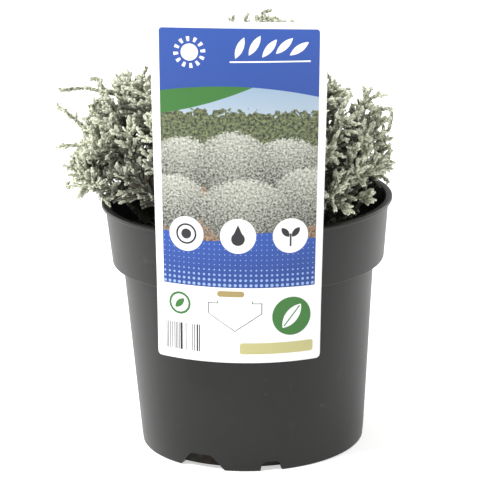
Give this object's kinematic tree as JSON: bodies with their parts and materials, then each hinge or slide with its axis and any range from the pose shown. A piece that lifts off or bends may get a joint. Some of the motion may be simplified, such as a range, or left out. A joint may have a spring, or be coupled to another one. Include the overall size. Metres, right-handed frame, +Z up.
{
  "type": "potted cushion bush",
  "caption": "Silver-leaved cushion bush growing in potting mix in a round plastic nursery pot, with a tall printed card label in front.",
  "frame": {"origin": "middle of the pot's flat base, on the surface that it stands on", "axes": "+Z up, +X to the right seen from the card's side, the card towards -Y"},
  "size_m": [0.1624, 0.1523, 0.2201],
  "materials": {
    "pot_plastic": "semi-matte moulded charcoal plastic",
    "potting_mix": "dark crumbly potting mix",
    "label_card": "smooth printed plastic card",
    "silver_foliage": "woolly silver-sage scale leaves on brown wood"
  },
  "bodies": {
    "root": {"pot": "pot_plastic", "soil": "potting_mix", "label": "label_card", "leafy_stem_01": "silver_foliage", "leafy_stem_02": "silver_foliage", "leafy_stem_03": "silver_foliage", "leafy_stem_04": "silver_foliage", "leafy_stem_05": "silver_foliage", "leafy_stem_06": "silver_foliage", "leafy_stem_07": "silver_foliage", "leafy_stem_08": "silver_foliage", "leafy_stem_09": "silver_foliage", "leafy_stem_10": "silver_foliage", "leafy_stem_11": "silver_foliage", "leafy_stem_12": "silver_foliage"}
  },
  "joints": []
}
